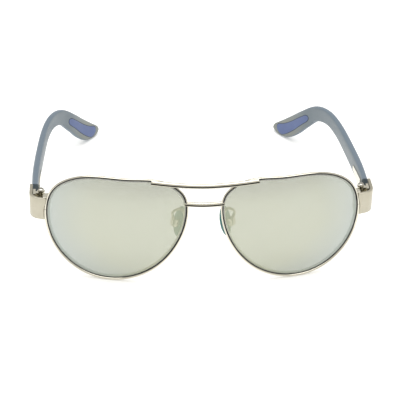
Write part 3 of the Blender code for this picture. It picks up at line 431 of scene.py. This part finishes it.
def mirrored(mesh, name):
    """A copy on the other side of the centre plane."""
    copy = mesh.copy()
    copy.name = name
    copy.transform(Matrix.Scale(-1.0, 4, (1.0, 0.0, 0.0)))
    copy.flip_normals()
    return copy


def baked(obj):
    """Put an object's modifiers into its mesh."""
    bpy.context.view_layer.update()
    graph = bpy.context.evaluated_depsgraph_get()
    mesh = bpy.data.meshes.new_from_object(obj.evaluated_get(graph))
    obj.modifiers.clear()
    obj.data = mesh
    return mesh


def softened_copy(node, finish, body, slot, width=0.0):
    """A copy of a CAD solid with its flat faces joined, its edges eased and its curves smooth."""
    bm = bmesh.new()
    bm.from_mesh(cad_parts[node].data)
    bmesh.ops.remove_doubles(bm, verts=bm.verts, dist=0.002 * MM)
    bmesh.ops.dissolve_limit(bm, angle_limit=math.radians(1.0), verts=bm.verts, edges=bm.edges)
    mesh = bpy.data.meshes.new(node + "_finished")
    bm.to_mesh(mesh)
    bm.free()
    obj = new_piece(node + "_finished", mesh, [finish], body, slot, node)
    if width:
        ease = obj.modifiers.new("Eased edges", "BEVEL")
        ease.width = width
        ease.segments = 2
        ease.limit_method = "ANGLE"
        ease.angle_limit = math.radians(50.0)
        baked(obj)
    smooth(obj.data, 40.0)
    return obj


# ---- Shape of the front -----------------------------------------------------------------------
def periodic_spline(points, count):
    """Points at even spacing along a closed cubic spline through the given points."""
    knots = np.array(points)
    size = len(knots)
    following = np.roll(knots, -1, axis=0)
    spans = np.linalg.norm(following - knots, axis=1)
    before = np.roll(spans, 1)
    matrix = np.zeros((size, size))
    right = np.zeros((size, 2))
    for i in range(size):
        matrix[i, i - 1] += before[i]
        matrix[i, i] += 2.0 * (before[i] + spans[i])
        matrix[i, (i + 1) % size] += spans[i]
        right[i] = 6.0 * ((following[i] - knots[i]) / spans[i]
                          - (knots[i] - knots[i - 1]) / before[i])
    bend = np.linalg.solve(matrix, right)
    dense = []
    for i in range(size):
        j = (i + 1) % size
        h = spans[i]
        for t in np.linspace(0.0, h, 60, endpoint=False):
            a = (h - t) / h
            b = t / h
            dense.append(a * knots[i] + b * knots[j]
                         + ((a ** 3 - a) * bend[i] + (b ** 3 - b) * bend[j]) * h * h / 6.0)
    closed = np.vstack([dense, dense[:1]])
    lengths = np.concatenate([[0.0], np.cumsum(np.linalg.norm(np.diff(closed, axis=0), axis=1))])
    places = np.linspace(0.0, lengths[-1], count, endpoint=False)
    return np.column_stack([np.interp(places, lengths, closed[:, k]) for k in (0, 1)])


def outline(inset, count):
    """(x, z) points of the right-hand rim outline, moved inwards, and their outward normals."""
    scaled = [(BOX_CENTRE_X + u * LENS_BOX_WIDTH / 2.0, BOX_CENTRE_Z + v * LENS_BOX_HEIGHT / 2.0)
              for u, v in RIM_OUTLINE]
    points = periodic_spline(scaled, count)
    points = points - [0.0, points[:, 1].min()]
    along = np.roll(points, -1, axis=0) - np.roll(points, 1, axis=0)
    along = along / np.linalg.norm(along, axis=1)[:, None]
    outward = np.column_stack([along[:, 1], -along[:, 0]])
    return points - outward * inset, outward


def lens_normal(x, z):
    """Forward normal of the lens sphere at (x, z)."""
    dx = x - APEX_X
    dz = z - APEX_Z
    return Vector((dx, -math.sqrt(BASE_RADIUS ** 2 - dx * dx - dz * dz), dz)).normalized()


def on_lens(x, z, height=0.0):
    """Point of the lens's middle surface at (x, z), raised forward along its normal."""
    dx = x - APEX_X
    dz = z - APEX_Z
    y = BASE_RADIUS - math.sqrt(BASE_RADIUS ** 2 - dx * dx - dz * dz)
    return Vector((x, y, z)) + lens_normal(x, z) * height


# The front's drawing origin in the shared frame, read from the CAD lens and rim
SHIFT = Vector((0.0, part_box("lens_right")[0].y + LENS_THICKNESS / 2.0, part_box("rim_right")[0].z))


# ---- Rims -------------------------------------------------------------------------------------
RIM_STEPS = 200
SPLIT_GAP = 0.12 * MM
WIRE_CENTRE = (0.20 * MM, 0.30 * MM)
WIRE_HALF_WIDTH = RIM_WIDTH / 2.0 - WIRE_CENTRE[0]
WIRE_HALF_DEPTH = RIM_DEPTH / 2.0 - WIRE_CENTRE[1]
# Points of the section's silver part; the rest of the section takes the nearly black painted-shade
# finish
SILVER_POINTS = 22
SILVER_START = math.radians(-125.0)
LIP_BACK = 0.20 * MM


def rim_ring(point, outward):
    """Section of the rim wire; its inner side, coloured nearly black as painted shade, starts
    further forward at the top.
    """
    x, z = point
    centre = on_lens(x, z) + SHIFT
    forward = lens_normal(x, z)
    out = Vector((outward[0], 0.0, outward[1]))
    out = (out - forward * out.dot(forward)).normalized()
    # Painted shade: from this angle round to the lip the section is coloured nearly black
    painted_shade_start = math.radians(118.0 + 20.0 * outward[0] - 42.0 * outward[1])
    angles = list(np.linspace(SILVER_START, painted_shade_start, SILVER_POINTS))
    angles += list(np.linspace(painted_shade_start, math.pi, 6)[1:])
    section = [(WIRE_CENTRE[0] + WIRE_HALF_WIDTH * math.cos(angle),
                WIRE_CENTRE[1] + WIRE_HALF_DEPTH * math.sin(angle)) for angle in angles]
    section.append((WIRE_CENTRE[0] - WIRE_HALF_WIDTH, -LIP_BACK))
    return [centre + out * a + forward * b for a, b in section]


def rim_mesh():
    """The rim wire, from above its split, over the top and round to below it."""
    points, outward = outline(RIM_WIDTH / 2.0, RIM_STEPS)
    temporal = points[:, 0] > BOX_CENTRE_X
    height = points[:, 1] - RIM_SPLIT_Z
    start = next(i for i in range(RIM_STEPS) if temporal[i] and height[i] > SPLIT_GAP
                 and height[i - 1] <= SPLIT_GAP)
    order = [(start + i) % RIM_STEPS for i in range(RIM_STEPS)]
    rings = [rim_ring(points[i], outward[i]) for i in order
             if not (temporal[i] and abs(height[i]) <= SPLIT_GAP)]
    for index, sign in ((0, 1.0), (-1, -1.0)):
        low = order[0] - 1 if index == 0 else order[-1]
        edge = points[low].copy()
        edge[1] = RIM_SPLIT_Z + sign * SPLIT_GAP / 2.0
        ring = rim_ring(edge, outward[low])
        rings.insert(0 if index == 0 else len(rings), ring)

    def finish_of(_, side):
        return 1 if side >= SILVER_POINTS - 1 else 0

    return smooth(loft("rim_wire_right", rings, finish_of=finish_of), 50.0)


def make_rims():
    """The two rim wires."""
    right = rim_mesh()
    for side, sign in SIDES:
        mesh = right if sign > 0 else mirrored(right, "rim_wire_left")
        new_piece("rim_wire_" + side, mesh, ["silver", "groove"], "front", "frame_silver",
                  "rim_" + side)


# ---- Lenses -----------------------------------------------------------------------------------
LENS_AROUND = 144
LENS_FRONT = 0.30 * MM
LENS_BACK = -LENS_THICKNESS / 2.0
COAT_INSET = 1.41 * MM
BACK_INSET = 1.60 * MM
# (inset, height) of the bevel and of the tongue that sits in the groove
LENS_EDGE = ((1.17 * MM, 0.10 * MM), (1.02 * MM, 0.05 * MM), (1.02 * MM, -0.10 * MM),
             (1.40 * MM, -0.40 * MM))


def lens_ring(inset, height, scale=1.0):
    """Points round the lens, scaled towards its middle."""
    centre = np.array([BOX_CENTRE_X, BOX_CENTRE_Z])
    points, _ = outline(inset, LENS_AROUND)
    return [on_lens(x, z, height) + SHIFT for x, z in centre + (points - centre) * scale]


def lens_mesh():
    """Front coat, bevelled edge, tongue in the groove, and tinted back."""
    scales = [step / 14.0 for step in range(1, 15)]
    rings = [[on_lens(BOX_CENTRE_X, BOX_CENTRE_Z, LENS_FRONT) + SHIFT]]
    rings += [lens_ring(COAT_INSET, LENS_FRONT, scale) for scale in scales]
    coat_rows = len(rings) - 1
    rings += [lens_ring(inset, height) for inset, height in LENS_EDGE]
    edge_rows = len(rings) - 1
    rings += [lens_ring(BACK_INSET, LENS_BACK, scale) for scale in reversed(scales)]
    rings.append([on_lens(BOX_CENTRE_X, BOX_CENTRE_Z, LENS_BACK) + SHIFT])

    def finish_of(row, _):
        return 0 if row < coat_rows else (1 if row <= edge_rows else 2)

    mesh = smooth(loft("lens_coated_right", rings, finish_of=finish_of), 30.0)
    thinning = mesh.attributes.new("coat_thinning", "FLOAT", "POINT")
    for index, vertex in enumerate(mesh.vertices):
        u = (vertex.co.x - BOX_CENTRE_X) / (LENS_BOX_WIDTH / 2.0)
        v = (vertex.co.z - BOX_CENTRE_Z) / (LENS_BOX_HEIGHT / 2.0)
        share = 0.75 * u - 0.35 * v + 0.55 * (u * u + v * v) - 0.35
        thinning.data[index].value = max(0.0, min(1.0, share))
    return mesh


def make_lenses():
    """The two lenses."""
    right = lens_mesh()
    for side, sign in SIDES:
        mesh = right if sign > 0 else mirrored(right, "lens_coated_left")
        new_piece("lens_coated_" + side, mesh, ["coat", "edge", "tint"], "front",
                  "mirrored_lens", "lens_" + side)


# ---- Wires ------------------------------------------------------------------------------------
BRIDGE_OVERRUN = 1.0 * MM
BRAZE_FROM = 12.5 * MM
BRAZE_TO = 21.0 * MM
BRAZE_RADIUS = 0.55 * MM


def wire_rings(points, radii, around):
    """Rings along a centre line, square to it, with one radius for each point."""
    rings = []
    side = None
    for index, point in enumerate(points):
        ahead = points[min(index + 1, len(points) - 1)]
        behind = points[max(index - 1, 0)]
        along = (ahead - behind).normalized()
        if side is None:
            side = along.orthogonal().normalized()
        side = (side - along * side.dot(along)).normalized()
        other = along.cross(side)
        radius = radii[index]
        if radius <= 0.0:
            rings.append([point])
            continue
        rings.append([point + (side * math.cos(t) + other * math.sin(t)) * radius
                      for t in np.linspace(0.0, 2.0 * math.pi, around, endpoint=False)])
    return rings


def wire_mesh(name, points, radius, around=20, ease=0.35 * MM):
    """A wire with eased ends."""
    first = (points[1] - points[0]).normalized()
    last = (points[-1] - points[-2]).normalized()
    steps = (0.0, 0.4, 0.8)
    eased = [radius - ease + ease * math.sin(math.acos(0.98 - 0.98 * step)) for step in steps]
    line = [points[0]] + [points[0] + first * ease * (0.02 + step) for step in steps]
    line += points[2:-2]
    line += [points[-1] - last * ease * (0.02 + step) for step in reversed(steps)] + [points[-1]]
    radii = [0.0] + eased + [radius] * len(points[2:-2]) + eased[::-1] + [0.0]
    return smooth(loft(name, wire_rings(line, radii, around)), 60.0)


def top_edge(x):
    """Height of the rim's top edge at x."""
    points, _ = outline(0.0, 480)
    upper = points[points[:, 1] > BOX_CENTRE_Z]
    return upper[np.argmin(abs(upper[:, 0] - x))][1]


def brow_bar_point(x):
    """Point of the brow bar's centre line, which bows forward and up between its ends."""
    low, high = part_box("brow_bar")
    middle = 1.0 - abs(x / high.x) ** 1.7
    bow = (high.y - low.y) - 2.0 * BAR_RADIUS
    rise = (high.z - low.z) - 2.0 * BAR_RADIUS
    return Vector((x, high.y - BAR_RADIUS - bow * middle, high.z - BAR_RADIUS - rise * middle))


def bridge_point(share, reach):
    """Point of the bridge's centre line, a shallow parabola."""
    low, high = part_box("bridge")
    bend = 1.0 - share * share
    end = Vector((share * reach, high.y - BAR_RADIUS, high.z - BAR_RADIUS))
    middle = Vector((share * reach, low.y + BAR_RADIUS, low.z + BAR_RADIUS))
    return end.lerp(middle, bend)


def make_bars():
    """Brow bar and bridge, with the brazing that joins the brow bar to the rims."""
    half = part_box("brow_bar")[1].x
    brow = [brow_bar_point(x) for x in np.linspace(-half, half, 61)]
    new_piece("brow_bar_polished", wire_mesh("brow_bar_polished", brow, BAR_RADIUS, 24),
              ["bar"], "front", "frame_silver", "brow_bar")

    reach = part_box("bridge")[1].x + BRIDGE_OVERRUN
    bridge = [bridge_point(share, reach) for share in np.linspace(-1.0, 1.0, 41)]
    new_piece("bridge_polished", wire_mesh("bridge_polished", bridge, BAR_RADIUS, 24),
              ["bar"], "front", "frame_silver", "bridge")

    seam = []
    for x in np.linspace(BRAZE_FROM, BRAZE_TO, 18):
        rim = on_lens(x, top_edge(x) - RIM_WIDTH / 2.0) + SHIFT
        seam.append(brow_bar_point(x).lerp(rim, 0.5))
    right = wire_mesh("brow_bar_braze_right", seam, BRAZE_RADIUS, 12, 0.3 * MM)
    for side, sign in SIDES:
        mesh = right if sign > 0 else mirrored(right, "brow_bar_braze_left")
        new_piece("brow_bar_braze_" + side, mesh, ["silver"], "front", "frame_silver")


# ---- Temples ----------------------------------------------------------------------------------
def catmull(place):
    """Row of the temple's stations at a fractional row number, smoothly joined."""
    rows = np.array(TEMPLE_STATIONS, dtype=float)
    last = len(rows) - 1
    i = min(int(place), last - 1)
    t = place - i
    before = rows[i - 1] if i > 0 else 2.0 * rows[0] - rows[1]
    after = rows[i + 2] if i + 2 <= last else 2.0 * rows[last] - rows[last - 1]
    a = rows[i]
    b = rows[i + 1]
    return 0.5 * (2.0 * a + (b - before) * t + (2.0 * before - 5.0 * a + 4.0 * b - after) * t * t
                  + (3.0 * a - before - 3.0 * b + after) * t ** 3)


def temple_centre(place):
    """Point of the temple's centre line at a fractional row number."""
    x, y, z, _, _, _ = catmull(place)
    return Vector((-x * MM, y * TEMPLE_REACH, RIM_SPLIT_Z * (1.0 + z)))


def temple_section(share, rounding=0.85):
    """Centre, inward and up directions, and half thickness and height at a share."""
    last = len(TEMPLE_STATIONS) - 1
    place = share * last
    _, _, _, height, thickness, roll = catmull(place)
    bend = min(place, TIP_STRAIGHT_FROM * last)
    along = (temple_centre(bend + 0.02) - temple_centre(max(bend - 0.02, 0.0))).normalized()
    if place <= 0.0:
        along = Vector((0.0, 1.0, 0.0))
    inward = Vector((-along.y, along.x, 0.0)).normalized()
    inward = Matrix.Rotation(math.radians(roll), 3, along) @ inward
    up = along.cross(inward) * -1.0
    tip = max(0.0, (share - 1.0 + TIP_ROUNDING) / TIP_ROUNDING)
    half_height = height * MM / 2.0 * math.sqrt(1.0 - rounding * tip * tip)
    half_thickness = thickness * MM / 2.0 * math.sqrt(1.0 - 0.65 * rounding * tip * tip)
    return temple_centre(place), inward, up, half_thickness, half_height


def temple_mesh():
    """The moulded arm, with its inner face marked for the painted sheen of warmer grey."""
    shares = list(np.linspace(0.0, 1.0 - TIP_ROUNDING, 90, endpoint=False))
    shares += [1.0 - TIP_ROUNDING * (1.0 - math.sin(t))
               for t in np.linspace(0.0, math.pi / 2.0, 12)]
    rings = []
    marks = []
    for share in shares:
        centre, inward, up, half_thickness, half_height = temple_section(share, 0.97)
        ring = []
        for angle in np.linspace(0.0, 2.0 * math.pi, 44, endpoint=False):
            c = math.cos(angle)
            s = math.sin(angle)
            across = math.copysign(abs(c) ** SECTION_POWER, c) * half_thickness
            upward = math.copysign(abs(s) ** SECTION_POWER, s) * half_height
            ring.append(centre + inward * across + up * upward)
            # Painted sheen mask: full on the inner face, weaker towards the hinge end
            along = max(0.0, min(1.0, (share - 0.55) / 0.2))
            marks.append(max(0.0, min(1.0, 3.0 * (c - 0.32))) * (0.3 + 0.7 * along))
        rings.append(ring)
    mesh = smooth(loft("temple_moulded_right", rings), 50.0)
    inner = mesh.attributes.new("inner_face", "FLOAT", "POINT")
    for index, mark in enumerate(marks):
        inner.data[index].value = mark
    return mesh


def inlay_mesh(name, grow, proud):
    """A rounded strip that follows the temple's inner face, from a narrow to a wide end."""
    rings = []
    for t in 0.5 - 0.5 * np.cos(np.linspace(0.0, math.pi, 49)):
        share = INLAY_START + (INLAY_END - INLAY_START) * t
        share += grow * (2.0 * t - 1.0) / TEMPLE_REACH
        centre, inward, up, half_thickness, half_height = temple_section(share)
        width = INLAY_START_WIDTH + (INLAY_END_WIDTH - INLAY_START_WIDTH) * t
        near_start = math.sqrt(max(0.0, 1.0 - (1.0 - min(1.0, t / 0.07)) ** 2))
        near_end = math.sqrt(max(0.0, 1.0 - (max(0.0, t - 0.82) / 0.18) ** 2.4))
        half = max(0.02 * MM, width / 2.0 * near_start * near_end) + grow
        half = min(half, half_height * 0.93)
        top = []
        bottom = []
        for place in np.sin(np.linspace(-math.pi / 2.0, math.pi / 2.0, 15)):
            upward = half * place
            height = min(1.0, abs(upward) / half_height) ** (2.0 / SECTION_POWER)
            level = (1.0 - height) ** (SECTION_POWER / 2.0)
            eased = proud * (1.0 - abs(place) ** 6)
            face = centre + up * upward + inward * half_thickness * level
            top.append(face + inward * eased)
            bottom.append(face - inward * INLAY_DEPTH)
        rings.append(top + bottom[::-1])
    return smooth(loft(name, rings), 40.0)


def make_temples():
    """Each temple's moulded arm, its soft inlay and a dark strip of painted shade for the groove
    round it.
    """
    arm = temple_mesh()
    arm_high = max(v.co.x for v in arm.vertices)
    low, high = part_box("temple_right")
    place = Matrix.Translation((high.x - arm_high, low.y, SHIFT.z))
    # Painted shade: the groove is a dark strip laid just proud of the arm round the inlay
    groove = inlay_mesh("inlay_groove_right", GROOVE_WIDTH, GROOVE_PROUD)
    inlay = inlay_mesh("tip_inlay_soft_right", 0.0, INLAY_PROUD)
    for mesh, finishes, slot, node in ((arm, ["temple"], "temple_grey", "temple_"),
                                       (groove, ["shade"], "temple_grey", None),
                                       (inlay, ["inlay"], "inlay_blue", "tip_inlay_")):
        mesh.transform(place)
        for side, sign in SIDES:
            name = mesh.name.replace("_right", "_" + side) if sign < 0 else mesh.name
            copy = mesh if sign > 0 else mirrored(mesh, name)
            nodes = [node + side] if node else []
            new_piece(name, copy, finishes, "temple_" + side, slot, *nodes)


# ---- Stage ------------------------------------------------------------------------------------
CAMERA_TARGET = Vector((-2.153, -60.995, 39.93)) * MM
CAMERA_DISTANCE = 700.73 * MM
CAMERA_AZIMUTH = math.radians(-4.445)
CAMERA_ELEVATION = math.radians(32.62)
CAMERA_ROLL = math.radians(-1.422)
CAMERA_LENS = 158.12
TABLE_REACH = 3.0


def make_camera():
    """A long lens above and ahead, turned a little to the left and rolled a little."""
    a = CAMERA_AZIMUTH
    e = CAMERA_ELEVATION
    back = Vector((math.sin(a) * math.cos(e), -math.cos(a) * math.cos(e), math.sin(e)))
    level = Vector((math.cos(a), math.sin(a), 0.0))
    upward = back.cross(level)
    right = level * math.cos(CAMERA_ROLL) - upward * math.sin(CAMERA_ROLL)
    up = level * math.sin(CAMERA_ROLL) + upward * math.cos(CAMERA_ROLL)
    data = bpy.data.cameras.new("camera")
    data.lens = CAMERA_LENS
    data.sensor_width = 36.0
    data.clip_start = 0.02
    data.clip_end = 20.0
    camera = bpy.data.objects.new("camera", data)
    bpy.context.scene.collection.objects.link(camera)
    turn = Matrix((right, up, back)).transposed().to_4x4()
    camera.matrix_world = Matrix.Translation(CAMERA_TARGET + back * CAMERA_DISTANCE) @ turn
    bpy.context.scene.camera = camera


def soft_light(name, place, aim, size, watts):
    """A rectangular soft box at a place, aimed at a point."""
    data = bpy.data.lights.new(name, "AREA")
    data.shape = "RECTANGLE"
    data.size, data.size_y = size
    data.energy = watts
    lamp = bpy.data.objects.new(name, data)
    bpy.context.scene.collection.objects.link(lamp)
    lamp.location = place
    lamp.rotation_euler = (Vector(aim) - Vector(place)).to_track_quat("-Z", "Y").to_euler()


def make_stage():
    """A white table that glows a little, a white room and an overhead soft box."""
    paper, _ = open_finish("white_table")
    close_finish(paper, {
        "Base Color": linear("#FCFCFB"), "Roughness": 0.9, "Specular IOR Level": 0.0,
        "Emission Color": linear("#FFFFFF"), "Emission Strength": 0.22})
    mesh = bpy.data.meshes.new("table")
    mesh.from_pydata([(-TABLE_REACH, -TABLE_REACH, 0.0), (TABLE_REACH, -TABLE_REACH, 0.0),
                      (TABLE_REACH, TABLE_REACH, 0.0), (-TABLE_REACH, TABLE_REACH, 0.0)],
                     [], [(0, 1, 2, 3)])
    mesh.materials.append(paper)
    table = bpy.data.objects.new("table", mesh)
    bpy.context.scene.collection.objects.link(table)

    world = bpy.data.worlds.new("white_room")
    bpy.context.scene.world = world
    world.use_nodes = True
    world.node_tree.nodes["Background"].inputs["Color"].default_value = linear("#FBFAF6")
    world.node_tree.nodes["Background"].inputs["Strength"].default_value = 0.75
    soft_light("overhead_soft_box", (0.0, 0.1, 1.4), (0.0, 0.0, 0.0), (1.6, 1.2), 13.0)
    bpy.context.scene.view_settings.view_transform = "Standard"


# ---- Assembly ---------------------------------------------------------------------------------
END_PIECE_EASE = 0.15 * MM

make_camera()
make_stage()
make_rims()
make_lenses()
make_bars()
make_temples()

for side, _ in SIDES:
    softened_copy("end_piece_" + side, "satin", "front", "frame_silver", END_PIECE_EASE)
    for node in ("rim_lock_upper_", "rim_lock_lower_", "hinge_front_", "pad_box_",
                 "pad_arm_"):
        softened_copy(node + side, "silver", "front", "frame_silver")
    softened_copy("hinge_temple_" + side, "silver", "temple_" + side, "frame_silver")
    for node in ("rim_lock_screw_", "hinge_screw_", "nose_pad_screw_"):
        softened_copy(node + side, "screw", "front", "screw_steel")
    softened_copy("nose_pad_" + side, "silicone", "nose_pad_" + side, "pad_clear")
